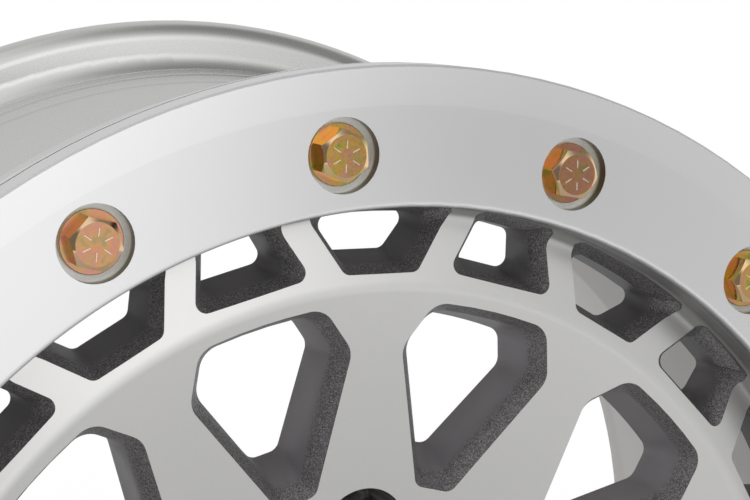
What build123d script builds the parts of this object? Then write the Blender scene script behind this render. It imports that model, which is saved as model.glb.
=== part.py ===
"""Beadlock wheel: a cast wheel whose outer tyre bead is clamped by a bolted ring.

The axis lies along Y and the outboard face looks toward -Y.
The origin is on the axis, on the hub mounting face.
Millimetres. Heights run outboard from the hub mounting face, radii from the axis, depths from a named face.
"""

import os
from math import asin, cos, hypot, radians, sin, sqrt, tan

from build123d import *

# Rim: a 15 inch bead seat, 7 inches wide between the ring and the rear flange
rim_width = 177.8
bead_seat_radius = 190.1
bead_seat_width = 13.0
bead_seat_taper = 4.0
bead_fillet = 8.3
hump_height = 3.7
hump_width = 6.0
hump_front_run = 10.0
hump_front_drop = 4.6
rear_flange_rise = 18.9
rear_flange_thickness = 11.2
rear_flange_round = 6.9
rear_edge_round = 4.0
rear_mouth_wall = 12.8
rear_mouth_reach = 22.5
rear_mouth_chamfer = 1.5
well_drop = 14.1
well_front_height = 6.0
well_rear_height = -34.0
well_fillet = 22.0
barrel_wall = 6.8
bead_seat_wall = 5.6

# Beadlock ring
ring_face_height = 65.0
ring_overhang = 12.9
ring_width = 38.5
ring_thickness = 13.0
ring_lip_thickness = 5.8
ring_inner_round = 2.4
ring_bevel_width = 10.7
ring_bevel_drop = 0.22
ring_edge_chamfer = 0.6
ring_groove_depth = 10.0
ring_groove_width = 0.8
ring_groove_cut = 0.7
pilot_wall = 5.5
pilot_clearance = 0.2

# Ring fasteners, 5/16 inch hexagon cap screws on flat washers
bolt_count = 16
bolt_from_pilot = 10.0
bolt_angle_from_spoke = 5.9
bolt_diameter = 7.94
bolt_length = 25.4
head_sides = 6
head_across_flats = 12.7
head_height = 5.3
head_face_diameter = 11.4
head_chamfer_angle = 30.0
head_turns = (36.0, 51.0, 58.0, 46.0)
washer_diameter = 17.0
washer_thickness = 1.5
washer_clearance = 0.45
counterbore_clearance = 1.75
counterbore_depth = 5.0
ring_hole_clearance = 0.5
thread_clearance = 0.08
thread_hole_spare = 3.0

# Outer bead clamp
bead_shelf_wall = 7.0
bead_gap = 13.0
clamp_flange_rise = 13.0
clamp_flange_thickness = 7.0
clamp_flange_chamfer = 1.5
clamp_root_drop = 2.5

# Spoked face
spoke_count = 12
recess_cove = 6.0
annulus_slope = 9.7
crease_margin = 3.5
crease_depth = 14.4
crease_round = 12.0
dish_slope = 7.5
disc_thickness = 21.7
disc_back_chamfer = 5.0

# Hub
hub_bore_radius = 50.0
hub_pad_radius = 80.0
hub_draft = 18.0
hub_edge_chamfer = 1.5
lug_count = 4
lug_circle_radius = 68.5
lug_pocket_radius = 13.0
lug_seat_height = 17.0
lug_hole_radius = 6.5
lug_seat_radius = 10.0
lug_seat_angle = 30.0

# Valve hole, through the well under a window
valve_hole_radius = 5.75
valve_hole_height = -12.0
valve_angle_from_spoke = 195.0

# Big windows: six corners, two at the ends of a curved top edge, two at the sides and two at the foot
window_top_margin = 4.45
window_top_half_width = 18.6
window_shoulder = 15.85
window_side_half_width = 24.3
window_flank_run = 38.7
window_foot_half_width = 5.85
window_corner_round = 7.0
window_foot_round = 3.5
window_bevel_depth = 6.0
window_bevel_angle = 30.0
window_lead = 2.0
window_overrun = 1.0

# The same windows at the back of the disc
window_top_draft = 5.5
window_foot_draft = 10.1
window_back_top_half_width = 15.75
window_back_side_half_width = 19.35
window_back_foot_half_width = 4.2
window_back_round = 4.5

# Small windows between straight struts, one over each spoke and one over each big window
small_window_margin = 2.0
small_window_run = 18.0
strut_angle = 33.6
strut_width = 8.2
spoke_window_half_width = 11.0
small_corner_round = 3.0
small_bevel_depth = 5.0
small_bevel_angle = 30.0
small_wall_angle = 7.7
small_outer_relief = 2.3

# Radii worked out from the bead seat, from the rim in to the windows
rear_flange_radius = bead_seat_radius + rear_flange_rise
rear_mouth_radius = rear_flange_radius - rear_mouth_wall
well_radius = bead_seat_radius - well_drop
ring_outer_radius = bead_seat_radius + ring_overhang
ring_crease_radius = ring_outer_radius - ring_bevel_width
ring_inner_radius = ring_outer_radius - ring_width
pilot_radius = ring_inner_radius + pilot_wall
bolt_circle_radius = pilot_radius + bolt_from_pilot
bead_shelf_radius = bolt_circle_radius + bead_shelf_wall
clamp_flange_radius = bead_shelf_radius + clamp_flange_rise
clamp_root_radius = bead_shelf_radius - clamp_root_drop
recess_radius = ring_inner_radius
small_window_outer = recess_radius - small_window_margin
small_window_inner = small_window_outer - small_window_run
crease_radius = small_window_inner - crease_margin
window_top_radius = crease_radius - window_top_margin
window_side_radius = window_top_radius - window_shoulder
window_foot_radius = window_side_radius - window_flank_run

# Heights worked out from the ring's face and the hub face
land_height = ring_face_height - ring_thickness
pilot_height = ring_face_height - ring_lip_thickness
clamp_height = land_height - bead_gap
clamp_back_height = clamp_height - clamp_flange_thickness
rear_flange_height = land_height - rim_width
rear_end_height = rear_flange_height - rear_flange_thickness
crease_height = ring_face_height - crease_depth
counterbore_height = ring_face_height - counterbore_depth
head_seat_height = counterbore_height + washer_thickness
thread_hole_depth = land_height - (head_seat_height - bolt_length) + thread_hole_spare

# Angles, anticlockwise seen from outboard, from the right of the wheel
top = 90.0
spoke_pitch = 360.0 / spoke_count
half_pitch = spoke_pitch / 2
bolt_pitch = 360.0 / bolt_count
first_bolt_angle = top + bolt_angle_from_spoke
valve_angle = radians(top - valve_angle_from_spoke)

# Section of a revolved piece: local x is the radius and local y the height
section = Plane(origin=(0, 0, 0), x_dir=(1, 0, 0), z_dir=(0, 0, -1))


def dish_height(radius):
    """Height of the spoke face inside the crease."""
    return crease_height - (crease_radius - radius) * tan(radians(dish_slope))


def annulus_height(radius):
    """Height of the spoke face outside the crease, which falls away toward the ring."""
    return crease_height - (radius - crease_radius) * tan(radians(annulus_slope))


def back_height(radius):
    """Height of the disc's back, which runs along with the spoke face."""
    return dish_height(radius) - disc_thickness


def face_plane(radius, height, slope):
    """Plane on the spoke face at the angle zero, local x running outward and local y along the rim."""
    lean = radians(slope)
    outward = (cos(lean), 0, sin(lean))
    return Plane(origin=(radius, 0, height), x_dir=outward, z_dir=(-sin(lean), 0, cos(lean)))


def window_outline(plane, corners, start_radius, slope, inset, outer_round, inner_round):
    """Window outline on a plane, from one side's corners, the first of them on the curved outer edge."""
    stretch = 1.0 / cos(radians(slope))
    one_side = [((x - start_radius) * stretch, y) for x, y in corners]
    other_side = [(x, -y) for x, y in reversed(one_side)]
    tip = ((hypot(*corners[0]) - start_radius) * stretch, 0)
    outer_count = len(one_side + other_side) - 2
    with BuildSketch(plane) as outline:
        with BuildLine():
            Polyline(*one_side, *other_side)
            ThreePointArc(other_side[-1], tip, one_side[0])
        make_face()
        if inset != 0.0:
            offset(amount=-inset, kind=Kind.INTERSECTION)
        fillet(outline.vertices().sort_by(Axis.X)[:2], radius=inner_round)
        fillet(outline.vertices().sort_by(Axis.X)[-outer_count:], radius=outer_round)
    return outline.sketch


# Big window, as a solid to cut with, at the angle zero: a bevel behind the face, then walls to the back
window_front = (
    (sqrt(window_top_radius**2 - window_top_half_width**2), window_top_half_width),
    (window_side_radius, window_side_half_width),
    (window_foot_radius, window_foot_half_width),
)
back_top_radius = window_top_radius - window_top_draft
window_back = (
    (sqrt(back_top_radius**2 - window_back_top_half_width**2), window_back_top_half_width),
    (window_side_radius, window_back_side_half_width),
    (window_foot_radius + window_foot_draft, window_back_foot_half_width),
)
window_bevel = tan(radians(window_bevel_angle))
window_face = face_plane(window_top_radius, dish_height(window_top_radius), dish_slope)
window_rear = face_plane(window_top_radius, back_height(window_top_radius) - window_overrun, dish_slope)


def big_outline(plane, corners, inset, corner_round):
    """Outline of a big window, on a plane along the spoke face."""
    return window_outline(
        plane, corners, window_top_radius, dish_slope, inset, corner_round, window_foot_round
    )


with BuildPart() as big_window:
    loft(
        [
            big_outline(
                window_face.offset(window_lead),
                window_front,
                -window_lead * window_bevel,
                window_corner_round,
            ),
            big_outline(
                window_face.offset(-window_bevel_depth),
                window_front,
                window_bevel_depth * window_bevel,
                window_corner_round,
            ),
            big_outline(window_rear, window_back, 0.0, window_back_round),
        ],
        ruled=True,
    )

# Small windows: the struts between them are straight bars of one width, each a distance from the axis
gap_strut_angle = strut_angle - half_pitch
spoke_flank_distance = (
    spoke_window_half_width * cos(radians(strut_angle)) - small_window_inner * sin(radians(strut_angle))
)
gap_flank_distance = spoke_flank_distance + strut_width
small_bevel = tan(radians(small_bevel_angle))
small_bevel_inset = small_bevel_depth * small_bevel
small_face_height = annulus_height(small_window_outer)
small_back_height = back_height(small_window_outer) - window_overrun
small_wall_run = small_face_height - small_bevel_depth - small_back_height
small_back_inset = small_bevel_inset + small_wall_run * tan(radians(small_wall_angle))
small_face = face_plane(small_window_outer, small_face_height, -annulus_slope)
small_rear = face_plane(small_window_outer, small_back_height, dish_slope)


def flank_corners(distance, lean, outer_radius):
    """Corners of a small window on a strut's side: on the curved outer edge and on the straight inner one."""
    turn = radians(lean)
    outer_angle = turn + asin(distance / outer_radius)
    inner_half_width = (distance + small_window_inner * sin(turn)) / cos(turn)
    return (
        (outer_radius * cos(outer_angle), abs(outer_radius * sin(outer_angle))),
        (small_window_inner, abs(inner_half_width)),
    )


def small_outline(plane, corners, slope, inset):
    """Outline of a small window on a plane."""
    return window_outline(
        plane, corners, small_window_outer, slope, inset, small_corner_round, small_corner_round
    )


def small_window_sections(distance, lean):
    """Outlines of a small window: over the cove, at the face, past the bevel and behind the disc."""
    front = flank_corners(distance, lean, small_window_outer)
    deep = flank_corners(distance, lean, small_window_outer + small_outer_relief)
    lead = small_face.offset(window_lead)
    over_cove = face_plane(small_window_outer, small_face_height + recess_cove, -annulus_slope)
    return [
        small_outline(over_cove.offset(window_lead), front, -annulus_slope, -window_lead * small_bevel),
        small_outline(lead, front, -annulus_slope, -window_lead * small_bevel),
        small_outline(small_face.offset(-small_bevel_depth), deep, -annulus_slope, small_bevel_inset),
        small_outline(small_rear, deep, dish_slope, small_back_inset),
    ]


with BuildPart() as spoke_window_cut:
    loft(small_window_sections(spoke_flank_distance, strut_angle), ruled=True)

with BuildPart() as gap_window_cut:
    loft(small_window_sections(gap_flank_distance, gap_strut_angle), ruled=True)

# Wheel: barrel, bead clamp, spoked face and hub in one casting
hump_start = rear_flange_height + bead_seat_width
hump_end = hump_start + hump_width
seat_end_radius = bead_seat_radius - bead_seat_width * tan(radians(bead_seat_taper))
hub_root_height = back_height(hub_pad_radius)
hub_root_radius = hub_pad_radius + hub_root_height * tan(radians(hub_draft))
seat_inner_radius = seat_end_radius - bead_seat_wall
well_inner_radius = well_radius - barrel_wall
hump_radius = seat_end_radius + hump_height
disc_edge_radius = well_inner_radius - disc_back_chamfer
wheel_profile = (
    ((recess_radius, pilot_height), 0.0),
    ((pilot_radius, pilot_height), 0.0),
    ((pilot_radius, land_height), 0.0),
    ((bead_shelf_radius, land_height), 0.0),
    ((bead_shelf_radius, clamp_height), 0.0),
    ((clamp_flange_radius - clamp_flange_chamfer, clamp_height), 0.0),
    ((clamp_flange_radius, clamp_height - clamp_flange_chamfer), 0.0),
    ((clamp_flange_radius, clamp_back_height), 0.0),
    ((clamp_root_radius, clamp_back_height - clamp_flange_chamfer), 0.0),
    ((well_radius, well_front_height), well_fillet),
    ((well_radius, well_rear_height), well_fillet),
    ((hump_radius - hump_front_drop, hump_end + hump_front_run), 0.0),
    ((hump_radius, hump_end), 0.0),
    ((hump_radius, hump_start + hump_width / 2), 0.0),
    ((seat_end_radius, hump_start), 0.0),
    ((bead_seat_radius, rear_flange_height), bead_fillet),
    ((rear_flange_radius, rear_flange_height), rear_flange_round),
    ((rear_flange_radius, rear_end_height), rear_edge_round),
    ((rear_mouth_radius + rear_mouth_chamfer, rear_end_height), 0.0),
    ((rear_mouth_radius, rear_end_height + rear_mouth_chamfer), 0.0),
    ((seat_inner_radius, rear_end_height + rear_mouth_reach), 0.0),
    ((seat_inner_radius, hump_end), well_fillet),
    ((well_inner_radius, well_rear_height), well_fillet),
    ((well_inner_radius, back_height(disc_edge_radius) - disc_back_chamfer), 0.0),
    ((disc_edge_radius, back_height(disc_edge_radius)), 0.0),
    ((hub_root_radius, back_height(hub_root_radius)), 0.0),
    ((hub_pad_radius, 0.0), 0.0),
    ((hub_bore_radius + hub_edge_chamfer, 0.0), 0.0),
    ((hub_bore_radius, hub_edge_chamfer), 0.0),
    ((hub_bore_radius, dish_height(hub_bore_radius) - hub_edge_chamfer), 0.0),
    ((hub_bore_radius + hub_edge_chamfer, dish_height(hub_bore_radius + hub_edge_chamfer)), 0.0),
    ((crease_radius, crease_height), crease_round),
    ((recess_radius, annulus_height(recess_radius)), recess_cove),
)
valve_plane = Plane(
    origin=(well_radius * cos(valve_angle), -valve_hole_height, well_radius * sin(valve_angle)),
    z_dir=(cos(valve_angle), 0, sin(valve_angle)),
)
with BuildPart(Plane.XZ) as wheel:
    with BuildSketch(section):
        with BuildLine():
            FilletPolyline(
                *[point for point, corner in wheel_profile],
                radius=[corner for point, corner in wheel_profile],
                close=True,
            )
        make_face()
    revolve(axis=Axis.Y)
    with PolarLocations(0, spoke_count, start_angle=top + half_pitch):
        add(big_window.part, mode=Mode.SUBTRACT)
        add(gap_window_cut.part, mode=Mode.SUBTRACT)
    with PolarLocations(0, spoke_count, start_angle=top):
        add(spoke_window_cut.part, mode=Mode.SUBTRACT)
    with Locations((0, 0, land_height)):
        with PolarLocations(bolt_circle_radius, bolt_count, start_angle=first_bolt_angle):
            Hole(radius=bolt_diameter / 2 + thread_clearance, depth=thread_hole_depth)
    with Locations((0, 0, ring_face_height)):
        with PolarLocations(lug_circle_radius, lug_count, start_angle=top):
            CounterBoreHole(
                radius=lug_hole_radius,
                counter_bore_radius=lug_pocket_radius,
                counter_bore_depth=ring_face_height - lug_seat_height,
            )
    with Locations((0, 0, lug_seat_height)):
        with PolarLocations(lug_circle_radius, lug_count, start_angle=top):
            Cone(
                bottom_radius=lug_hole_radius,
                top_radius=lug_seat_radius,
                height=(lug_seat_radius - lug_hole_radius) / tan(radians(lug_seat_angle)),
                align=(Align.CENTER, Align.CENTER, Align.MAX),
                mode=Mode.SUBTRACT,
            )
    with BuildSketch(valve_plane):
        Circle(radius=valve_hole_radius)
    extrude(amount=barrel_wall + valve_hole_radius, both=True, mode=Mode.SUBTRACT)
wheel.part.label = "wheel"

# Beadlock ring: flat face with a shallow outer bevel, a fine groove round its side and a lip over the pilot
ring_side_height = ring_face_height - ring_bevel_drop
groove_height = ring_face_height - ring_groove_depth
groove_floor_radius = ring_outer_radius - ring_groove_cut
ring_shoulder_radius = pilot_radius + pilot_clearance
ring_profile = (
    ((ring_inner_radius, ring_face_height), ring_inner_round),
    ((ring_crease_radius, ring_face_height), 0.0),
    ((ring_outer_radius - ring_edge_chamfer, ring_side_height), 0.0),
    ((ring_outer_radius, ring_side_height - ring_edge_chamfer), 0.0),
    ((ring_outer_radius, groove_height), 0.0),
    ((groove_floor_radius, groove_height), 0.0),
    ((groove_floor_radius, groove_height - ring_groove_width), 0.0),
    ((ring_outer_radius, groove_height - ring_groove_width), 0.0),
    ((ring_outer_radius, land_height + ring_edge_chamfer), 0.0),
    ((ring_outer_radius - ring_edge_chamfer, land_height), 0.0),
    ((ring_shoulder_radius, land_height), 0.0),
    ((ring_shoulder_radius, pilot_height), 0.0),
    ((ring_inner_radius, pilot_height), 0.0),
)
with BuildPart(Plane.XZ) as beadlock_ring:
    with BuildSketch(section):
        with BuildLine():
            FilletPolyline(
                *[point for point, corner in ring_profile],
                radius=[corner for point, corner in ring_profile],
                close=True,
            )
        make_face()
    revolve(axis=Axis.Y)
    with Locations((0, 0, ring_face_height)):
        with PolarLocations(bolt_circle_radius, bolt_count, start_angle=first_bolt_angle):
            CounterBoreHole(
                radius=bolt_diameter / 2 + ring_hole_clearance,
                counter_bore_radius=washer_diameter / 2 + counterbore_clearance,
                counter_bore_depth=counterbore_depth,
            )
beadlock_ring.part.label = "beadlock_ring"

# One hexagon cap screw, its head's underside at the local origin
head_corner_radius = head_across_flats / 2 / cos(radians(180.0 / head_sides))
chamfer_drop = (head_corner_radius - head_face_diameter / 2) * tan(radians(head_chamfer_angle))
with BuildPart() as bolt:
    with BuildSketch():
        RegularPolygon(radius=head_across_flats / 2, side_count=head_sides, major_radius=False)
    extrude(amount=head_height)
    with BuildSketch(Plane.XZ):
        with BuildLine():
            Polyline(
                (0, 0),
                (head_corner_radius, 0),
                (head_corner_radius, head_height - chamfer_drop),
                (head_face_diameter / 2, head_height),
                (0, head_height),
                close=True,
            )
        make_face()
    revolve(axis=Axis.Z, mode=Mode.INTERSECT)
    with BuildSketch():
        Circle(radius=bolt_diameter / 2)
    extrude(amount=-bolt_length)

# The screws stand at the turns to which they were tightened
with BuildPart(Plane.XZ) as ring_bolts:
    for index in range(bolt_count):
        angle = first_bolt_angle - index * bolt_pitch
        with Locations((0, 0, head_seat_height)):
            with PolarLocations(bolt_circle_radius, 1, start_angle=angle, rotate=False):
                add(bolt.part, rotation=(0, 0, head_turns[index % len(head_turns)]))
ring_bolts.part.label = "ring_bolts"

with BuildPart(Plane.XZ) as ring_washers:
    with BuildSketch(Plane.XZ.offset(counterbore_height)):
        with PolarLocations(bolt_circle_radius, bolt_count, start_angle=first_bolt_angle):
            Circle(radius=washer_diameter / 2)
            Circle(radius=bolt_diameter / 2 + washer_clearance, mode=Mode.SUBTRACT)
    extrude(amount=washer_thickness)
ring_washers.part.label = "ring_washers"

os.makedirs("parts", exist_ok=True)
export_step(wheel.part, "parts/wheel.step")
export_step(beadlock_ring.part, "parts/beadlock_ring.step")
export_step(ring_bolts.part, "parts/ring_bolts.step")
export_step(ring_washers.part, "parts/ring_washers.step")
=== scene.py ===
"""Beadlock wheel dressed for a studio picture: finishes, screw heads with grade marks, light and camera."""

from math import atan2, cos, hypot, pi, radians, sin, tan

import bmesh
import bpy
import numpy as np
from mathutils import Matrix, Vector


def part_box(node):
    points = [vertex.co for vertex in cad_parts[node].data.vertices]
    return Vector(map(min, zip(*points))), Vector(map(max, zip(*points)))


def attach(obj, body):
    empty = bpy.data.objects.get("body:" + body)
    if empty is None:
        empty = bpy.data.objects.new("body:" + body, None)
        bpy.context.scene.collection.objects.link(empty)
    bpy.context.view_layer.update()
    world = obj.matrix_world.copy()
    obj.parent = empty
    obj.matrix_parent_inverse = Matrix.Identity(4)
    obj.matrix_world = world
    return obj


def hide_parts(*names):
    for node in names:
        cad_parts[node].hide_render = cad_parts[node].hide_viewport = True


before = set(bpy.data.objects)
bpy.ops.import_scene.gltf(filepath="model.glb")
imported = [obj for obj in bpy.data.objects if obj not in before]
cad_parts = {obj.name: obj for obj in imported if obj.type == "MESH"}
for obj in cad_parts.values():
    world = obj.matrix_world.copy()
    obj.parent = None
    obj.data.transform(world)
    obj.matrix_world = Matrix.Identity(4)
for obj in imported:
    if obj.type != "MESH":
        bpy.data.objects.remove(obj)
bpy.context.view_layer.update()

MM = 0.001

# Places read from the frame
ring_low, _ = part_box("beadlock_ring")
wheel_low, wheel_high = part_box("wheel")
RING_FACE_Y = ring_low.y
FLOOR_Z = wheel_low.z
REAR_END_Y = wheel_high.y

# Camera, from the circles in the photograph: its place is from the axis at the ring's face, in metres
PICTURE_WIDTH = 750
FOCAL_PIXELS = 1865.46
SENSOR_WIDTH = 36.0
CAMERA_AZIMUTH = radians(24.370)
CAMERA_ELEVATION = radians(8.788)
CAMERA_FROM_FACE = Vector((-0.208354, -0.447790, 0.229810))
WHEEL_TURN = radians(1.301)
CLIP_START = 0.01

# Regions of the casting: the spoked face lies inside the ring, and what is cut into it is small
FACE_INNER_RADIUS = 40.0 * MM
FACE_OUTER_RADIUS = 165.5 * MM
POCKET_OUTER_RADIUS = 85.0 * MM
WALL_SIZE_LIMIT = 95.0 * MM
BARREL_FRONT_Y = -40.0 * MM
OUTBOARD_LEAN = -0.2
INWARD_LEAN = -0.3

# Regions of the ring: what belongs to a screw's counterbore is small, and its wall, dark with painted shade,
# is paler toward the foot
COUNTERBORE_SIZE_LIMIT = 40.0 * MM
FLAT_LEAN = 0.7
BORE_FOOT_Y = (RING_FACE_Y + 2.4 * MM, RING_FACE_Y + 4.2 * MM)

# Cleaning of normals: a turn above 1 keeps the normals of a round with its face for longer
SECTION_TOLERANCE = 0.02 * MM
TURNED_AGREEMENT = 0.7
WELD_DISTANCE = 0.01 * MM
SOFT_EDGE_ANGLE = 32.0
FLANGE_LEAN = radians(7.0)
COVE_INNER_RADIUS = 150.0 * MM
COVE_TURN = 2.2
LIP_TURN = 2.6

# The round lip inside the ring: its radius, the middle of its section and how finely it is cut
LIP_ROUND = 2.4 * MM
LIP_CENTRE_RADIUS = 166.9 * MM
LIP_CENTRE_Y = RING_FACE_Y + LIP_ROUND
LIP_CUTS = 3

# Screw heads and washers: seen from outboard, the first screw is this far to the left of the top
SCREW_COUNT = 16
FIRST_SCREW_ANGLE = radians(5.9)
SHARP_ANGLE = 25.0
HEAD_EDGE_ROUND = 0.16 * MM
WASHER_EDGE_ROUND = 0.22 * MM
EDGE_ROUND_STEPS = 2
TICK_COUNT = 6
TICK_PHASES = (30.0, 33.0, 24.0, 28.0)
TICK_INNER = 2.0 * MM
TICK_OUTER = 4.3 * MM
TICK_HALF_WIDTH = 0.21 * MM
TICK_TOP_HALF_WIDTH = 0.13 * MM
TICK_HEIGHT = 0.12 * MM
TICK_SINK = 0.03 * MM
TICK_END_STEPS = 5

# The spoked face in section: a crease, from which it falls away on both sides
CREASE_RADIUS = 141.0 * MM
CREASE_DEPTH = 14.4 * MM
OUTER_FALL = radians(9.7)
INNER_FALL = radians(7.5)

# Lean toward the axis at which painted shade darkens the ring's lip and side and the wall of the recess, and
# at which they grow rougher
LIP_LEAN = (0.0, 0.15)
LIP_FOOT_LEAN = (0.10, 0.60)
EDGE_LEAN = (0.1, 0.4)
SIDE_LEAN = (-0.95, -0.5)
SIDE_SMOOTH_LEAN = (-0.97, -0.85)
RECESS_LEAN = (-0.13, 0.22)
COVE_LEAN = (-0.15, 0.24)
RECESS_RADII = (138.0 * MM, 152.0 * MM)

# Two fine lines round the barrel, in front of the hump, from its rear end, bumped in and darkened with
# painted shade
BARREL_LINES = (33.7 * MM, 38.7 * MM)
BARREL_LINE_HALF_WIDTH = 0.9 * MM
BARREL_LINE_RADIUS = 186.0 * MM


class Nodes:
    """Short way to add linked shader nodes to one tree."""

    def __init__(self, tree):
        self.tree = tree

    def add(self, kind, settings=None, **inputs):
        node = self.tree.nodes.new(kind)
        for name, value in (settings or {}).items():
            setattr(node, name, value)
        for name, value in inputs.items():
            self.put(node, name.replace("_", " "), value)
        return node

    def feed(self, socket, value):
        if isinstance(value, bpy.types.NodeSocket):
            self.tree.links.new(value, socket)
        else:
            socket.default_value = value

    def put(self, node, name, value):
        self.feed(next(s for s in node.inputs if s.name.lower() == name.lower() and s.enabled), value)

    def math(self, operation, *values, clamp=False):
        node = self.add("ShaderNodeMath", {"operation": operation, "use_clamp": clamp})
        for socket, value in zip(node.inputs, values):
            self.feed(socket, value)
        return node.outputs[0]

    def split(self, vector):
        node = self.add("ShaderNodeSeparateXYZ", vector=vector)
        return node.outputs["X"], node.outputs["Y"], node.outputs["Z"]

    def distance(self, place, middle):
        node = self.add("ShaderNodeVectorMath", {"operation": "DISTANCE"})
        self.feed(node.inputs[0], place)
        self.feed(node.inputs[1], middle)
        return node.outputs["Value"]

    def ramp(self, factor, *stops):
        node = self.add("ShaderNodeValToRGB")
        elements = node.color_ramp.elements
        while len(elements) < len(stops):
            elements.new(0.5)
        for element, (position, colour) in zip(elements, stops):
            element.position = position
            element.color = (*colour, 1.0)
        self.feed(node.inputs[0], factor)
        return node.outputs[0]

    def noise(self, vector, scale, detail=3.0, roughness=0.5):
        node = self.add("ShaderNodeTexNoise", vector=vector, scale=scale, detail=detail, roughness=roughness)
        return node.outputs["Fac"]

    def between(self, factor, low, high, start=0.0, end=1.0):
        """Goes smoothly from low to high while the factor goes from start to end."""
        node = self.add("ShaderNodeMapRange", {"interpolation_type": "SMOOTHSTEP"}, value=factor)
        self.put(node, "from min", start)
        self.put(node, "from max", end)
        self.put(node, "to min", low)
        self.put(node, "to max", high)
        return node.outputs[0]

    def mix(self, factor, first, second):
        node = self.add("ShaderNodeMix", {"data_type": "RGBA"})
        self.feed(node.inputs[0], factor)
        for socket, value in ((node.inputs[6], first), (node.inputs[7], second)):
            self.feed(socket, value if isinstance(value, bpy.types.NodeSocket) else (*value, 1.0))
        return node.outputs[2]

    def shaded(self, colour, share):
        node = self.add("ShaderNodeVectorMath", {"operation": "SCALE"}, scale=share)
        self.feed(node.inputs[0], colour)
        return node.outputs[0]

    def bump(self, height, strength, distance, normal=None):
        node = self.add("ShaderNodeBump", strength=strength, distance=distance, height=height)
        if normal is not None:
            self.put(node, "normal", normal)
        return node.outputs[0]

    def facing_outboard(self):
        """1 where the surface looks straight outboard, 0 where it looks sideways."""
        normal = self.add("ShaderNodeNewGeometry").outputs["Normal"]
        return self.math("MULTIPLY", self.split(normal)[1], -1.0, clamp=True)

    def axis_radius(self, place):
        """Distance from the wheel's axis."""
        x, _, z = self.split(place)
        return self.math("SQRT", self.math("ADD", self.math("POWER", x, 2.0), self.math("POWER", z, 2.0)))

    def face_depth(self, place):
        """How far a point lies behind the spoked face."""
        past_crease = self.math("SUBTRACT", self.axis_radius(place), CREASE_RADIUS)
        outer = self.math("MULTIPLY", past_crease, tan(OUTER_FALL))
        inner = self.math("MULTIPLY", past_crease, -tan(INNER_FALL))
        face_y = self.math("ADD", self.math("MAXIMUM", outer, inner), RING_FACE_Y + CREASE_DEPTH)
        return self.math("SUBTRACT", self.split(place)[1], face_y)

    def axis_lean(self, place):
        """1 where the surface looks straight at the wheel's axis, 0 along it, -1 straight away from it."""
        x, _, z = self.split(place)
        across, _, up = self.split(self.add("ShaderNodeNewGeometry").outputs["Normal"])
        along = self.math("ADD", self.math("MULTIPLY", x, across), self.math("MULTIPLY", z, up))
        return self.math("DIVIDE", along, self.math("MULTIPLY", self.axis_radius(place), -1.0))


def start_material(name, **inputs):
    """New material with one Principled shader: the material, its nodes, its shader and the place."""
    material = bpy.data.materials.new(name)
    material.use_nodes = True
    material.node_tree.nodes.clear()
    nodes = Nodes(material.node_tree)
    shader = nodes.add("ShaderNodeBsdfPrincipled", **inputs)
    nodes.add("ShaderNodeOutputMaterial", surface=shader.outputs[0])
    return material, nodes, shader, nodes.add("ShaderNodeTexCoord").outputs["Object"]


# Materials. Fineness is in cells to a metre, and a bump is its strength and its depth

CLOUD_SHADES = (0.985, 1.015)

TURNED_CLOUD = 28.0
TURNED_GRAIN = 3400.0
TURNED_RINGS = 5200.0
TURNED_UNEVENNESS = (-0.01, 0.01)
TURNED_BUMP = (0.03, 0.02 * MM)
BARREL_LINE_PAINTED_SHADE = 0.90
BARREL_LINE_BUMP = (0.3, 0.08 * MM)


def turned_metal(name, colour, roughness, anisotropic, painted_shade_shares=(1.0, 1.0, 1.0), edge_roughness=0.0, lines=()):
    """Satin aluminium turned on its axis, with fine rings, and lines round it that are bumped in and darkened
    with painted shade.

    The shares darken the start of a lip, its foot and the side that looks away from the axis with painted
    shade.
    """
    material, nodes, shader, place = start_material(name, metallic=1.0, anisotropic=anisotropic)
    radius = nodes.axis_radius(place)
    lean = nodes.axis_lean(place)
    cloud = nodes.noise(place, TURNED_CLOUD)
    grain = nodes.noise(place, TURNED_GRAIN, detail=1.0)
    lip_shade_share, foot_shade_share, side_shade_share = painted_shade_shares
    # Painted shade: darker at the start of the lip, at its foot and on the side that looks away from the axis
    lip = nodes.between(lean, 1.0, lip_shade_share, *LIP_LEAN)
    foot = nodes.between(lean, 1.0, foot_shade_share / lip_shade_share, *LIP_FOOT_LEAN)
    side = nodes.between(lean, side_shade_share, 1.0, *SIDE_LEAN)
    shade = nodes.math("MULTIPLY", nodes.between(cloud, *CLOUD_SHADES), nodes.math("MULTIPLY", lip, side))
    shade = nodes.math("MULTIPLY", shade, foot)
    edge = nodes.between(nodes.math("ABSOLUTE", lean), 0.0, edge_roughness, *EDGE_LEAN)
    edge = nodes.math("MULTIPLY", edge, nodes.between(lean, 0.0, 1.0, *SIDE_SMOOTH_LEAN))
    uneven = nodes.math("ADD", nodes.between(grain, *TURNED_UNEVENNESS), edge)
    nodes.put(shader, "roughness", nodes.math("ADD", uneven, roughness))
    rings = nodes.add("ShaderNodeTexNoise", {"noise_dimensions": "1D"}, w=radius, scale=TURNED_RINGS)
    nodes.put(rings, "detail", 2.0)
    normal = nodes.bump(rings.outputs["Fac"], *TURNED_BUMP)
    outside = nodes.math("GREATER_THAN", radius, BARREL_LINE_RADIUS)
    for line_y in lines:
        away = nodes.math("ABSOLUTE", nodes.math("SUBTRACT", nodes.split(place)[1], line_y))
        depth = nodes.math("MULTIPLY", nodes.between(away, 1.0, 0.0, end=BARREL_LINE_HALF_WIDTH), outside)
        # Painted shade along each barrel line
        shade = nodes.math("MULTIPLY", shade, nodes.between(depth, 1.0, BARREL_LINE_PAINTED_SHADE))
        normal = nodes.bump(nodes.math("MULTIPLY", depth, -1.0), *BARREL_LINE_BUMP, normal=normal)
    nodes.put(shader, "base color", nodes.shaded(colour, shade))
    nodes.put(shader, "normal", normal)
    tangent = nodes.add("ShaderNodeTangent", {"direction_type": "RADIAL", "axis": "Y"})
    nodes.put(shader, "tangent", tangent.outputs[0])
    return material


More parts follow.
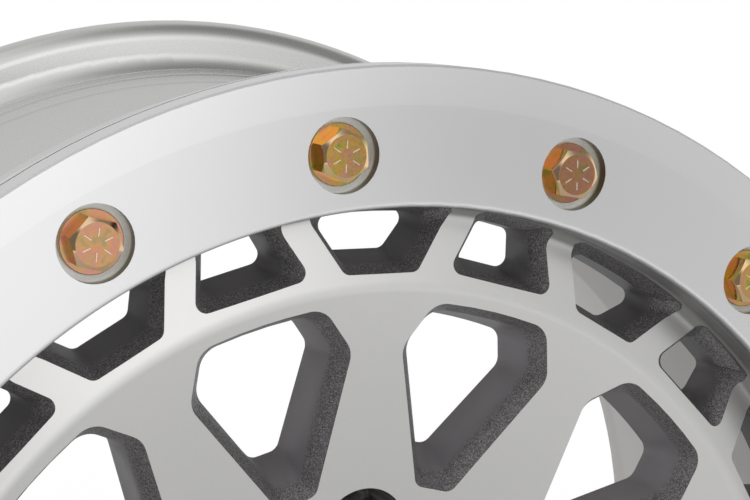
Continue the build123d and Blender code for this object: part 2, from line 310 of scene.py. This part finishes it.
SATIN_CLOUD = 22.0
CAST_GRAIN = 1900.0
SATIN_GRAIN_SHADES = (-0.02, 0.02)
SATIN_UNEVENNESS = (-0.04, 0.04)
SATIN_BUMP = (0.05, 0.03 * MM)


def satin_silver(name, colour, roughness, recess_shade_share=1.0, recess_roughness=0.0):
    """Silver finish of the casting: an even satin with a fine grain, rougher in the recess under the ring and
    darkened there with painted shade.
    """
    material, nodes, shader, place = start_material(name, metallic=1.0)
    under_ring = nodes.between(nodes.axis_radius(place), 0.0, 1.0, *RECESS_RADII)
    lean = nodes.axis_lean(place)
    wall = nodes.math("MULTIPLY", nodes.between(lean, 0.0, 1.0, *RECESS_LEAN), under_ring)
    cove = nodes.math("MULTIPLY", nodes.between(lean, 0.0, 1.0, *COVE_LEAN), under_ring)
    cloud = nodes.noise(place, SATIN_CLOUD)
    grain = nodes.noise(place, CAST_GRAIN, detail=2.0)
    shade = nodes.math("ADD", nodes.between(cloud, *CLOUD_SHADES), nodes.between(grain, *SATIN_GRAIN_SHADES))
    # Painted shade on the wall of the recess under the ring
    shade = nodes.math("MULTIPLY", shade, nodes.between(wall, 1.0, recess_shade_share))
    nodes.put(shader, "base color", nodes.shaded(colour, shade))
    uneven = nodes.between(grain, *SATIN_UNEVENNESS)
    uneven = nodes.math("ADD", uneven, nodes.between(cove, 0.0, recess_roughness))
    nodes.put(shader, "roughness", nodes.math("ADD", uneven, roughness))
    nodes.put(shader, "normal", nodes.bump(grain, *SATIN_BUMP))
    return material


# How deep the grainy bevels go, and where painted shade begins to darken the deep walls of the small windows
GRAINY_DEPTH = (4.0 * MM, 7.5 * MM)
SMALL_WINDOW_RADII = (137.0 * MM, 143.0 * MM)
SMALL_WINDOW_SHADE_SHARE = 0.70
COAT_CLOUD = 60.0
COAT_FLECKS = 4500.0
COAT_FLECK_CHANCE = (0.35, 1.0)
COAT_DEEP = (0.250, 0.240, 0.250)
COAT_DEEP_SHADES = (0.9, 1.1)
COAT_DEEP_FLECK = (0.28, 0.27, 0.275)
COAT_DEEP_FLECK_SHARE = 0.12
COAT_BEVEL = (0.155, 0.148, 0.151)
COAT_BEVEL_FLECK = (0.44, 0.426, 0.432)
COAT_METALLIC = (0.3, 0.60)
COAT_SPECULAR = 0.3
COAT_ROUGHNESS = (0.44, 0.54)
COAT_BEVEL_ROUGHNESS = 0.04
COAT_BUMP_STRENGTH = (0.10, 0.40)
COAT_BUMP_DEPTH = 0.10 * MM


def window_coat():
    """Charcoal coat in the windows: smooth and dark in the depth, grainy with pale flecks on the bevels."""
    material, nodes, shader, place = start_material("charcoal_coat", specular_IOR_level=COAT_SPECULAR)
    bevel = nodes.between(nodes.face_depth(place), 1.0, 0.0, *GRAINY_DEPTH)
    cloud = nodes.noise(place, COAT_CLOUD, detail=2.0)
    lumps = nodes.noise(place, CAST_GRAIN, detail=2.0, roughness=0.6)
    cells = nodes.add("ShaderNodeTexVoronoi", {"feature": "F1"}, vector=place, scale=COAT_FLECKS)
    chance = nodes.add("ShaderNodeSeparateColor", color=cells.outputs["Color"]).outputs[0]
    fleck = nodes.between(chance, 0.0, 1.0, *COAT_FLECK_CHANCE)
    # Painted shade: the deep walls of the small windows are darker
    small = nodes.between(nodes.axis_radius(place), 1.0, SMALL_WINDOW_SHADE_SHARE, *SMALL_WINDOW_RADII)
    shade = nodes.math("MULTIPLY", nodes.between(cloud, *COAT_DEEP_SHADES), small)
    deep_fleck = nodes.math("MULTIPLY", fleck, COAT_DEEP_FLECK_SHARE)
    deep = nodes.mix(deep_fleck, nodes.shaded(COAT_DEEP, shade), COAT_DEEP_FLECK)
    front = nodes.mix(fleck, COAT_BEVEL, COAT_BEVEL_FLECK)
    nodes.put(shader, "base color", nodes.mix(bevel, deep, front))
    nodes.put(shader, "metallic", nodes.between(bevel, *COAT_METALLIC))
    uneven = nodes.between(lumps, *COAT_ROUGHNESS)
    nodes.put(shader, "roughness", nodes.math("ADD", uneven, nodes.between(bevel, 0.0, COAT_BEVEL_ROUGHNESS)))
    strength = nodes.between(bevel, *COAT_BUMP_STRENGTH)
    nodes.put(shader, "normal", nodes.bump(lumps, strength, COAT_BUMP_DEPTH))
    return material


POCKET_STREAKS = 420.0
POCKET_TONES = ((0.35, (0.05, 0.05, 0.05)), (0.68, (0.24, 0.235, 0.23)))
POCKET_SPECULAR = 0.5
POCKET_ROUGHNESS = (0.40, 0.56)
POCKET_BUMP = (0.25, 0.15 * MM)


def pocket_coat():
    """Charcoal coat in the lug pockets, with streaks that the cutter left along the axis."""
    material, nodes, shader, place = start_material("pocket_coat", specular_IOR_level=POCKET_SPECULAR)
    x, _, z = nodes.split(place)
    across = nodes.add("ShaderNodeCombineXYZ", x=x, z=z).outputs[0]
    streak = nodes.noise(across, POCKET_STREAKS, detail=2.0)
    grain = nodes.noise(place, CAST_GRAIN, detail=2.0)
    nodes.put(shader, "base color", nodes.ramp(streak, *POCKET_TONES))
    nodes.put(shader, "roughness", nodes.between(grain, *POCKET_ROUGHNESS))
    nodes.put(shader, "normal", nodes.bump(streak, *POCKET_BUMP))
    return material


TOOL_MARKS = 1500.0
TOOL_MARK_SHADES = (0.9, 1.1)
TOOL_MARK_UNEVENNESS = (-0.05, 0.05)
TOOL_MARK_BUMP = (0.08, 0.03 * MM)


def bore_metal(name, colour, roughness, foot_colour):
    """Bare machined metal of a counterbore, with fine tool marks and another tone at its foot; a dark colour
    given to it is painted shade.
    """
    material, nodes, shader, place = start_material(name, metallic=1.0)
    marks = nodes.noise(place, TOOL_MARKS)
    foot = nodes.between(nodes.split(place)[1], 0.0, 1.0, *BORE_FOOT_Y)
    shade = nodes.between(marks, *TOOL_MARK_SHADES)
    tone = nodes.mix(foot, nodes.shaded(colour, shade), nodes.shaded(foot_colour, shade))
    nodes.put(shader, "base color", tone)
    uneven = nodes.between(marks, *TOOL_MARK_UNEVENNESS)
    nodes.put(shader, "roughness", nodes.math("ADD", uneven, roughness))
    nodes.put(shader, "normal", nodes.bump(marks, *TOOL_MARK_BUMP))
    return material


# How straight outboard the plating's surfaces look where their tone or sheen changes, and its tones, with a
# painted highlight on the chamfer
TOP_FACING = (0.55, 0.85)
CHAMFER_FACING = (0.68, 0.82)
FLAT_FACING = (0.95, 0.99)
DULL_FACING = (0.85, 0.99)
TOP_TONES = (
    (0.36, (0.34, 0.40, 0.10)),
    (0.43, (0.64, 0.45, 0.10)),
    (0.50, (0.70, 0.39, 0.13)),
    (0.56, (0.68, 0.34, 0.22)),
    (0.63, (0.56, 0.42, 0.12)),
)
SIDE_TONES = (
    (0.38, (0.66, 0.60, 0.15)),
    (0.48, (0.93, 0.60, 0.19)),
    (0.60, (0.93, 0.54, 0.33)),
)
PINK_TONE = (0.46, 0.18, 0.18)
PINK_SHARE = 0.5
PINK_WAVE = (-0.5, 0.5)
CHAMFER_HIGHLIGHT_TONE = (0.93, 0.72, 0.46)
CHAMFER_HIGHLIGHT_SHARE = 0.6
PLATING_GRAIN = 1400.0
PLATING_ROUGHNESS = (0.07, 0.20)
PLATING_UNEVENNESS = (-0.05, 0.05)
PLATING_BUMP = (0.10, 0.05 * MM)


def yellow_zinc(name, cloud_scale, shift):
    """Yellow zinc plating: orange gold on the sides, duller clouds of pink, gold and green on the top, and a
    pale painted highlight on the chamfer.

    Every other screw has a pinker top.
    """
    material, nodes, shader, place = start_material(name, metallic=1.0)
    moved = nodes.add("ShaderNodeVectorMath", {"operation": "ADD"}).outputs[0]
    nodes.feed(moved.node.inputs[0], place)
    nodes.feed(moved.node.inputs[1], shift)
    cloud = nodes.noise(moved, cloud_scale, roughness=0.55)
    grain = nodes.noise(place, PLATING_GRAIN)
    top = nodes.ramp(cloud, *TOP_TONES)
    side = nodes.ramp(cloud, *SIDE_TONES)
    facing = nodes.facing_outboard()
    x, _, z = nodes.split(place)
    turn = nodes.math("ADD", nodes.math("ARCTAN2", x, z), FIRST_SCREW_ANGLE)
    batch = nodes.math("COSINE", nodes.math("MULTIPLY", turn, SCREW_COUNT / 2))
    top = nodes.mix(nodes.between(batch, PINK_SHARE, 0.0, *PINK_WAVE), top, PINK_TONE)
    colour = nodes.mix(nodes.between(facing, 0.0, 1.0, *TOP_FACING), side, top)
    # Painted highlight: a pale tone on the chamfer of each head
    slanted = nodes.between(facing, 0.0, CHAMFER_HIGHLIGHT_SHARE, *CHAMFER_FACING)
    chamfer_highlight = nodes.math("SUBTRACT", slanted, nodes.between(facing, 0.0, CHAMFER_HIGHLIGHT_SHARE, *FLAT_FACING))
    nodes.put(shader, "base color", nodes.mix(chamfer_highlight, colour, CHAMFER_HIGHLIGHT_TONE))
    dull = nodes.between(facing, *PLATING_ROUGHNESS, *DULL_FACING)
    nodes.put(shader, "roughness", nodes.math("ADD", dull, nodes.between(grain, *PLATING_UNEVENNESS)))
    nodes.put(shader, "normal", nodes.bump(grain, *PLATING_BUMP))
    return material


MARK_TONES = ((0.3, (0.80, 0.68, 0.48)), (0.7, (0.92, 0.84, 0.70)))
MARK_ROUGHNESS = (0.22, 0.36)


def pale_zinc():
    """Worn plating on the raised marks."""
    material, nodes, shader, place = start_material("mark_zinc", metallic=1.0)
    grain = nodes.noise(place, PLATING_GRAIN)
    nodes.put(shader, "base color", nodes.ramp(grain, *MARK_TONES))
    nodes.put(shader, "roughness", nodes.between(grain, *MARK_ROUGHNESS))
    return material


# Surfaces of a solid: in a CAD mesh each one is an island of triangles

def mesh_arrays(mesh):
    """Corner indices of the triangles, and the places of the points."""
    points = np.empty(len(mesh.vertices) * 3)
    mesh.vertices.foreach_get("co", points)
    corners = np.empty(len(mesh.polygons) * 3, np.int64)
    mesh.polygons.foreach_get("vertices", corners)
    return corners.reshape(-1, 3), points.reshape(-1, 3)


def island_labels(corners, count):
    """Number of the island that each point is in."""
    label = np.arange(count)
    while True:
        lowest = label[corners].min(axis=1)
        new = label.copy()
        for column in range(3):
            np.minimum.at(new, corners[:, column], lowest)
        new = new[new]
        if np.array_equal(new, label):
            return np.unique(label, return_inverse=True)[1]
        label = new


def island_members(label):
    """Indices of the points of each island."""
    order = np.argsort(label, kind="stable")
    return np.split(order, np.searchsorted(label[order], np.arange(1, label.max() + 1)))


def facet_normals(corners, points):
    """Normal of each triangle, as long as twice its area."""
    a, b, c = (points[corners[:, k]] for k in range(3))
    return np.cross(b - a, c - a)


def unit(vectors):
    """Vectors brought to the length 1."""
    return vectors / np.maximum(np.linalg.norm(vectors, axis=1, keepdims=True), 1e-30)


def axis_distance(points):
    """Distance of points from the wheel's axis."""
    return np.hypot(points[:, 0], points[:, 2])


def outward(points):
    """Direction of points straight away from the axis."""
    return unit(points * np.array([1.0, 0.0, 1.0]))


def turned_normals(own, rough):
    """Exact normals of points on a turned surface, or None where it isn't one.

    In the section through the axis a turned surface is a straight line or an arc.
    """
    section = np.column_stack([axis_distance(own), own[:, 1]])
    radial = outward(own)
    slope = np.column_stack([np.einsum("ij,ij->i", rough, radial), rough[:, 1]])
    middle = section.mean(axis=0)
    axes = np.linalg.svd(section - middle, full_matrices=False)[2]
    if np.abs((section - middle) @ axes[1]).max() < SECTION_TOLERANCE:
        flat = np.broadcast_to(axes[1], section.shape)
    else:
        system = np.column_stack([2 * section, np.ones(len(section))])
        centre = np.linalg.lstsq(system, (section ** 2).sum(axis=1), rcond=None)[0][:2]
        length = np.linalg.norm(section - centre, axis=1)
        if np.abs(length - length.mean()).max() > SECTION_TOLERANCE:
            return None
        flat = (section - centre) / length[:, None]
    if np.einsum("ij,ij->", flat, slope) < 0:
        flat = -flat
    if np.einsum("ij,ij->i", flat, slope).min() < TURNED_AGREEMENT:
        return None
    return radial * flat[:, :1] + np.array([0.0, 1.0, 0.0]) * flat[:, 1:]


def late_turn(points, exact, start, bend):
    """Normals of a round between a face and a wall, which stay with the face for longer."""
    toward_axis = -np.einsum("ij,ij->i", exact, outward(points))
    share = (np.arcsin(np.clip(toward_axis, -1.0, 1.0)) - start) / (pi / 2 - start)
    turn = start + (pi / 2 - start) * np.clip(share, 0.0, 1.0) ** bend
    return -outward(points) * np.sin(turn)[:, None] - np.array([0.0, 1.0, 0.0]) * np.cos(turn)[:, None]


def smooth_across(points, normals, soft):
    """Averages the normals of islands that meet at a slight angle, so that their edge reads soft."""
    grid = np.round(points[soft] / WELD_DISTANCE).astype(np.int64)
    keys = np.unique(grid, axis=0, return_inverse=True)[1].ravel()
    order = np.argsort(keys, kind="stable")
    result = normals.copy()
    limit = cos(radians(SOFT_EDGE_ANGLE))
    for group in np.split(order, np.searchsorted(keys[order], np.arange(1, keys.max() + 1))):
        index = soft[group]
        alike = normals[index] @ normals[index].T > limit
        result[index] = unit(alike @ normals[index])
    return result


def leaned_normals(points, exact, on_barrel):
    """Exact normals of a turned surface, leaned in the cove, at the ring's lip and on the rear flange."""
    radius = axis_distance(points)
    back = points[:, 1].max()
    in_recess = radius.min() > COVE_INNER_RADIUS and radius.max() < FACE_OUTER_RADIUS
    if in_recess and back < BARREL_FRONT_Y:
        return late_turn(points, exact, -OUTER_FALL, COVE_TURN)
    at_lip = FACE_OUTER_RADIUS < radius.max() < LIP_CENTRE_RADIUS + SECTION_TOLERANCE
    if at_lip and back < LIP_CENTRE_Y + SECTION_TOLERANCE:
        return late_turn(points, exact, 0.0, LIP_TURN)
    if on_barrel and exact[:, 1].max() < -cos(FLANGE_LEAN):
        return unit(exact + outward(points) * sin(FLANGE_LEAN))
    return exact


def clean_normals(mesh):
    """Normals for every point: exact on turned surfaces, soft where window walls or barrel bands meet."""
    corners, points = mesh_arrays(mesh)
    label = island_labels(corners, len(points))
    normals = np.zeros_like(points)
    for column in range(3):
        np.add.at(normals, corners[:, column], facet_normals(corners, points))
    normals = unit(normals)
    soft = []
    for own in island_members(label):
        exact = turned_normals(points[own], normals[own])
        outer = axis_distance(points[own]).min() > FACE_OUTER_RADIUS
        on_barrel = outer and points[own][:, 1].min() > BARREL_FRONT_Y
        if exact is not None:
            normals[own] = leaned_normals(points[own], exact, on_barrel)
        if exact is None or on_barrel:
            soft.append(own)
    if soft:
        normals = smooth_across(points, normals, np.concatenate(soft))
    return normals


def lip_offset(place):
    """How far a place is inward and outboard of the middle of the ring's round lip."""
    return LIP_CENTRE_RADIUS - hypot(place.x, place.z), LIP_CENTRE_Y - place.y


def fine_lip(mesh):
    """Cuts the ring's round lip finer, with all points on the exact round, so that its shading is even."""
    shape = bmesh.new()
    shape.from_mesh(mesh)
    on_round = {point for point in shape.verts if min(lip_offset(point.co)) > -SECTION_TOLERANCE}
    edges = {edge for face in shape.faces if on_round.issuperset(face.verts) for edge in face.edges}
    bmesh.ops.subdivide_edges(shape, edges=list(edges), cuts=LIP_CUTS, use_grid_fill=True)
    bmesh.ops.triangulate(shape, faces=[face for face in shape.faces if len(face.verts) > 3])
    for point in shape.verts:
        inward, outboard = lip_offset(point.co)
        if min(inward, outboard) > -SECTION_TOLERANCE:
            grow = LIP_ROUND / hypot(inward, outboard)
            share = (LIP_CENTRE_RADIUS - inward * grow) / hypot(point.co.x, point.co.z)
            point.co = (point.co.x * share, LIP_CENTRE_Y - outboard * grow, point.co.z * share)
    shape.to_mesh(mesh)
    shape.free()


def add_piece(mesh, piece_name, node_name):
    """Object of a mesh that stands for a CAD node and moves with the wheel."""
    piece = bpy.data.objects.new(piece_name, mesh)
    bpy.context.scene.collection.objects.link(piece)
    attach(piece, "root")
    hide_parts(node_name)
    return piece


def stand_in(node_name, piece_name):
    """Copy of a CAD node's mesh that stands for it, with clean normals."""
    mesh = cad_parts[node_name].data.copy()
    mesh.name = piece_name
    mesh.materials.clear()
    if node_name == "beadlock_ring":
        fine_lip(mesh)
    mesh.shade_smooth()
    mesh.normals_split_custom_set_from_vertices([Vector(n) for n in clean_normals(mesh)])
    return add_piece(mesh, piece_name, node_name)


def small_islands(corners, points, label, limit):
    """For each triangle, whether its island is smaller than a limit, and its island's radii and heights."""
    rows = []
    for own in island_members(label):
        low, high = points[own].min(axis=0), points[own].max(axis=0)
        radius = axis_distance(points[own])
        rows.append((np.linalg.norm(high - low) < limit, radius.min(), radius.max(), low[1], high[1]))
    return np.array(rows)[label[corners[:, 0]]].T


OUTSIDE, WALL, FACE, INSIDE, POCKET = range(5)


def casting_regions(mesh):
    """Material index of each triangle of the casting."""
    corners, points = mesh_arrays(mesh)
    label = island_labels(corners, len(points))
    facets = unit(facet_normals(corners, points))
    middle = points[corners].mean(axis=1)
    small, inner, outer, front, back = small_islands(corners, points, label, WALL_SIZE_LIMIT)
    in_face = (inner > FACE_INNER_RADIUS) & (outer < FACE_OUTER_RADIUS)
    cut = (small > 0) & in_face & (front > RING_FACE_Y) & (back < 0)
    outboard = (facets[:, 1] < OUTBOARD_LEAN) & (axis_distance(middle) < FACE_OUTER_RADIUS)
    inward = np.einsum("ij,ij->i", facets, outward(middle)) < INWARD_LEAN
    inside = (middle[:, 1] > BARREL_FRONT_Y) & (inward | (axis_distance(middle) < FACE_OUTER_RADIUS))
    region = np.where(inside, INSIDE, OUTSIDE)
    region = np.where(outboard | ((axis_distance(middle) < FACE_OUTER_RADIUS) & ~inside), FACE, region)
    region = np.where(cut, np.where(outer < POCKET_OUTER_RADIUS, POCKET, WALL), region)
    return region.astype(np.int32)


RING_BODY, BORE_WALL, BORE_FLOOR = range(3)


def ring_regions(mesh):
    """Material index of each triangle of the ring."""
    corners, points = mesh_arrays(mesh)
    label = island_labels(corners, len(points))
    facets = unit(facet_normals(corners, points))
    small = small_islands(corners, points, label, COUNTERBORE_SIZE_LIMIT)[0] > 0
    flat = np.abs(facets[:, 1]) > FLAT_LEAN
    return np.where(small, np.where(flat, BORE_FLOOR, BORE_WALL), RING_BODY).astype(np.int32)


# Screws and washers

def welded_mesh(node_name):
    """Mesh of a CAD node with its surfaces joined along their edges."""
    corners, points = mesh_arrays(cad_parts[node_name].data)
    mesh = bpy.data.meshes.new(node_name + "_welded")
    mesh.from_pydata(points.tolist(), [], corners.tolist())
    work = bmesh.new()
    work.from_mesh(mesh)
    bmesh.ops.remove_doubles(work, verts=work.verts, dist=WELD_DISTANCE)
    work.to_mesh(mesh)
    work.free()
    mesh.shade_smooth()
    mesh.set_sharp_from_angle(angle=radians(SHARP_ANGLE))
    return mesh


def rounded_copy(node_name, piece_name, edge_round):
    """Copy of a CAD node with its edges slightly rounded, which stands for it."""
    piece = add_piece(welded_mesh(node_name), piece_name, node_name)
    bevel = piece.modifiers.new("edges", "BEVEL")
    bevel.width = edge_round
    bevel.segments = EDGE_ROUND_STEPS
    bevel.limit_method = "ANGLE"
    bevel.angle_limit = radians(SHARP_ANGLE)
    bevel.harden_normals = True
    graph = bpy.context.evaluated_depsgraph_get()
    mesh = bpy.data.meshes.new_from_object(piece.evaluated_get(graph), depsgraph=graph)
    piece.modifiers.clear()
    piece.data = mesh
    return piece


def head_centres():
    """Middle of each screw head's top face, in order round the wheel."""
    corners, points = mesh_arrays(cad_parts["ring_bolts"].data)
    top_y = points[:, 1].min()
    label = island_labels(corners, len(points))
    tops = [points[own] for own in island_members(label) if points[own][:, 1].max() < top_y + WELD_DISTANCE]
    centres = [Vector((top.max(axis=0) + top.min(axis=0)) / 2) for top in tops]
    return sorted(centres, key=lambda centre: atan2(centre.x, centre.z))


def tick_outline(half_width):
    """Outline of a raised mark along local x, with round ends."""
    turns = [pi * k / TICK_END_STEPS for k in range(TICK_END_STEPS + 1)]
    outer = [(TICK_OUTER - half_width + half_width * sin(t), -half_width * cos(t)) for t in turns]
    inner = [(TICK_INNER + half_width - half_width * sin(t), half_width * cos(t)) for t in turns]
    return outer + inner


def add_tick(work, centre, angle):
    """One raised mark on a screw head."""
    rings = []
    for half_width, rise in ((TICK_HALF_WIDTH, -TICK_SINK), (TICK_TOP_HALF_WIDTH, TICK_HEIGHT)):
        ring = []
        for along, across in tick_outline(half_width):
            x = along * cos(angle) - across * sin(angle)
            z = along * sin(angle) + across * cos(angle)
            ring.append(work.verts.new(centre + Vector((x, -rise, z))))
        rings.append(ring)
    base, top = rings
    count = len(base)
    faces = [work.faces.new(top)]
    for k in range(count):
        after = (k + 1) % count
        faces.append(work.faces.new((base[k], base[after], top[after], top[k])))
    return faces


def mark_heads(piece):
    """Raised grade marks on every screw head, in the piece's second material."""
    work = bmesh.new()
    work.from_mesh(piece.data)
    marks = []
    for index, centre in enumerate(head_centres()):
        phase = TICK_PHASES[index % len(TICK_PHASES)]
        for k in range(TICK_COUNT):
            marks += add_tick(work, centre, radians(phase + 360.0 / TICK_COUNT * k))
    for face in marks:
        face.material_index = 1
    bmesh.ops.recalc_face_normals(work, faces=marks)
    work.to_mesh(piece.data)
    work.free()


def dress(piece, *finishes):
    """Gives a piece its finishes, in the order of their material indices."""
    for finish in finishes:
        piece.data.materials.append(finish)


casting = stand_in("wheel", "wheel_casting")
barrel_lines = [REAR_END_Y - from_end for from_end in BARREL_LINES]
dress(
    casting,
    turned_metal("barrel_silver", (0.69, 0.687, 0.68), roughness=0.27, anisotropic=0.3, lines=barrel_lines),
    window_coat(),
    # The face's recess wall under the ring is darkened with painted shade
    satin_silver("face_silver", (0.79, 0.785, 0.77), roughness=0.34, recess_shade_share=0.5, recess_roughness=0.3),
    satin_silver("inside_silver", (0.62, 0.61, 0.60), roughness=0.64),
    pocket_coat(),
)
casting.data.polygons.foreach_set("material_index", casting_regions(casting.data))

ring = stand_in("beadlock_ring", "clamp_ring")
# The ring's lip, its foot and its outer side carry painted shade
ring_silver = turned_metal(
    "ring_silver",
    (0.865, 0.865, 0.87),
    roughness=0.25,
    anisotropic=0.4,
    painted_shade_shares=(0.95, 0.52, 0.88),
    edge_roughness=0.40,
)
dress(
    ring,
    ring_silver,
    # The counterbore wall's dark olive is painted shade and the painted reflection of the yellow washers;
    # toward its foot it turns to the pale bare metal
    bore_metal("bore_wall_painted_shade", (0.22, 0.205, 0.16), roughness=0.30, foot_colour=(0.85, 0.85, 0.82)),
    bore_metal("bore_floor", (0.95, 0.95, 0.93), roughness=0.50, foot_colour=(0.95, 0.95, 0.93)),
)
ring.data.polygons.foreach_set("material_index", ring_regions(ring.data))

bolts = rounded_copy("ring_bolts", "cap_screws", HEAD_EDGE_ROUND)
dress(bolts, yellow_zinc("bolt_zinc", cloud_scale=210.0, shift=(3.1, 2.2, -3.1)), pale_zinc())
mark_heads(bolts)

washers = rounded_copy("ring_washers", "flat_washers", WASHER_EDGE_ROUND)
dress(washers, yellow_zinc("washer_zinc", cloud_scale=150.0, shift=(7.7, 5.4, -7.7)))


# Studio. Cards: azimuth from the front toward the right, elevation, inner and outer angle, added light

MATT_LIGHT = 0.90
STUDIO_CARDS = (
    (8.0, 12.0, 8.0, 16.0, 0.43),
    (12.0, -4.0, 4.0, 12.0, 0.15),
    (50.0, 2.0, 26.0, 34.0, -0.36),
    (27.0, -5.0, 1.5, 6.0, -0.58),
    (63.0, 49.0, 11.0, 45.0, -0.72),
    (0.0, 88.0, 8.0, 35.0, -0.11),
    (187.0, 32.0, 37.0, 72.0, -0.30),
    (-46.0, -6.0, 26.0, 48.5, -0.80),
)


def soft_card(nodes, direction, azimuth, elevation, inner, outer):
    """Share of a soft round card seen in a direction: 1 within the inner angle, 0 past the outer one."""
    a, e = radians(azimuth), radians(elevation)
    dot = nodes.add("ShaderNodeVectorMath", {"operation": "DOT_PRODUCT"})
    nodes.feed(dot.inputs[0], direction)
    nodes.feed(dot.inputs[1], (sin(a) * cos(e), -cos(a) * cos(e), sin(e)))
    return nodes.between(dot.outputs["Value"], 0.0, 1.0, cos(radians(outer)), cos(radians(inner)))


def seen_rays(nodes):
    """Two marks of a ray: that it shows the background, and that a glossy surface mirrored it."""
    path = nodes.add("ShaderNodeLightPath").outputs
    mirrored = nodes.math("ADD", path["Is Glossy Ray"], path["Is Transmission Ray"])
    return nodes.math("ADD", path["Is Camera Ray"], mirrored, clamp=True), path["Is Glossy Ray"]


def build_world():
    """White backdrop, with soft pale and dark cards that show in the metal alone."""
    world = bpy.data.worlds.new("studio")
    bpy.context.scene.world = world
    world.use_nodes = True
    world.cycles.sampling_method = "NONE"
    world.node_tree.nodes.clear()
    nodes = Nodes(world.node_tree)
    direction = nodes.add("ShaderNodeTexCoord").outputs["Generated"]
    seen, glossy = seen_rays(nodes)
    level = nodes.between(seen, MATT_LIGHT, 1.0)
    for azimuth, elevation, inner, outer, light in STUDIO_CARDS:
        card = soft_card(nodes, direction, azimuth, elevation, inner, outer)
        level = nodes.math("ADD", nodes.math("MULTIPLY", nodes.math("MULTIPLY", card, light), glossy), level)
    background = nodes.add("ShaderNodeBackground", color=(1.0, 1.0, 1.0, 1.0), strength=level)
    nodes.add("ShaderNodeOutputWorld", surface=background.outputs[0])


FLOOR_RADIUS = 1.1
FLOOR_STEPS = 96
FLOOR_COLOUR = (0.60, 0.60, 0.60, 1.0)
FLOOR_GLOW = 0.46
FLOOR_RIM_FADE = (0.85, 1.08)
FLOOR_FRONT = (0.2, -0.4, FLOOR_Z)
FLOOR_FRONT_FADE = (0.65, 1.22)


def build_floor():
    """Pale round floor under and in front of the wheel, which fades into the backdrop."""
    mesh = bpy.data.meshes.new("floor")
    turns = [2 * pi * k / FLOOR_STEPS for k in range(FLOOR_STEPS)]
    rim = [(FLOOR_RADIUS * cos(t), FLOOR_RADIUS * sin(t), FLOOR_Z) for t in turns]
    mesh.from_pydata(rim, [], [tuple(range(FLOOR_STEPS))])
    floor = bpy.data.objects.new("floor", mesh)
    bpy.context.scene.collection.objects.link(floor)
    material = bpy.data.materials.new("floor_white")
    material.use_nodes = True
    material.cycles.emission_sampling = "NONE"
    material.node_tree.nodes.clear()
    nodes = Nodes(material.node_tree)
    matt = nodes.add("ShaderNodeBsdfDiffuse", color=FLOOR_COLOUR)
    place = nodes.add("ShaderNodeTexCoord").outputs["Object"]
    rim_fade = nodes.between(nodes.distance(place, (0.0, 0.0, FLOOR_Z)), 0.0, FLOOR_GLOW, *FLOOR_RIM_FADE)
    front_fade = nodes.between(nodes.distance(place, FLOOR_FRONT), 0.0, FLOOR_GLOW, *FLOOR_FRONT_FADE)
    fade = nodes.math("MAXIMUM", rim_fade, front_fade)
    strength = nodes.math("MULTIPLY", seen_rays(nodes)[0], fade)
    glow = nodes.add("ShaderNodeEmission", color=(1.0, 1.0, 1.0, 1.0), strength=strength)
    both = nodes.add("ShaderNodeAddShader")
    nodes.feed(both.inputs[0], matt.outputs[0])
    nodes.feed(both.inputs[1], glow.outputs[0])
    nodes.add("ShaderNodeOutputMaterial", surface=both.outputs[0])
    mesh.materials.append(material)


def turn_about_axis(vector, angle):
    """Vector turned about the wheel's axis."""
    x = vector.x * cos(angle) - vector.z * sin(angle)
    z = vector.x * sin(angle) + vector.z * cos(angle)
    return Vector((x, vector.y, z))


def build_camera():
    """Camera at the photograph's place, for a picture of its width."""
    data = bpy.data.cameras.new("camera")
    data.sensor_width = SENSOR_WIDTH
    data.lens = FOCAL_PIXELS / PICTURE_WIDTH * SENSOR_WIDTH
    data.clip_start = CLIP_START
    camera = bpy.data.objects.new("camera", data)
    level = cos(CAMERA_ELEVATION)
    forward = Vector((sin(CAMERA_AZIMUTH) * level, cos(CAMERA_AZIMUTH) * level, -sin(CAMERA_ELEVATION)))
    right = Vector((cos(CAMERA_AZIMUTH), -sin(CAMERA_AZIMUTH), 0.0))
    axes = [turn_about_axis(v, WHEEL_TURN) for v in (right, right.cross(forward), -forward)]
    matrix = Matrix(axes).transposed().to_4x4()
    matrix.translation = turn_about_axis(CAMERA_FROM_FACE, WHEEL_TURN) + Vector((0.0, RING_FACE_Y, 0.0))
    camera.matrix_world = matrix
    bpy.context.scene.collection.objects.link(camera)
    bpy.context.scene.camera = camera


build_world()
build_floor()
build_camera()
bpy.context.scene.view_settings.view_transform = "Standard"
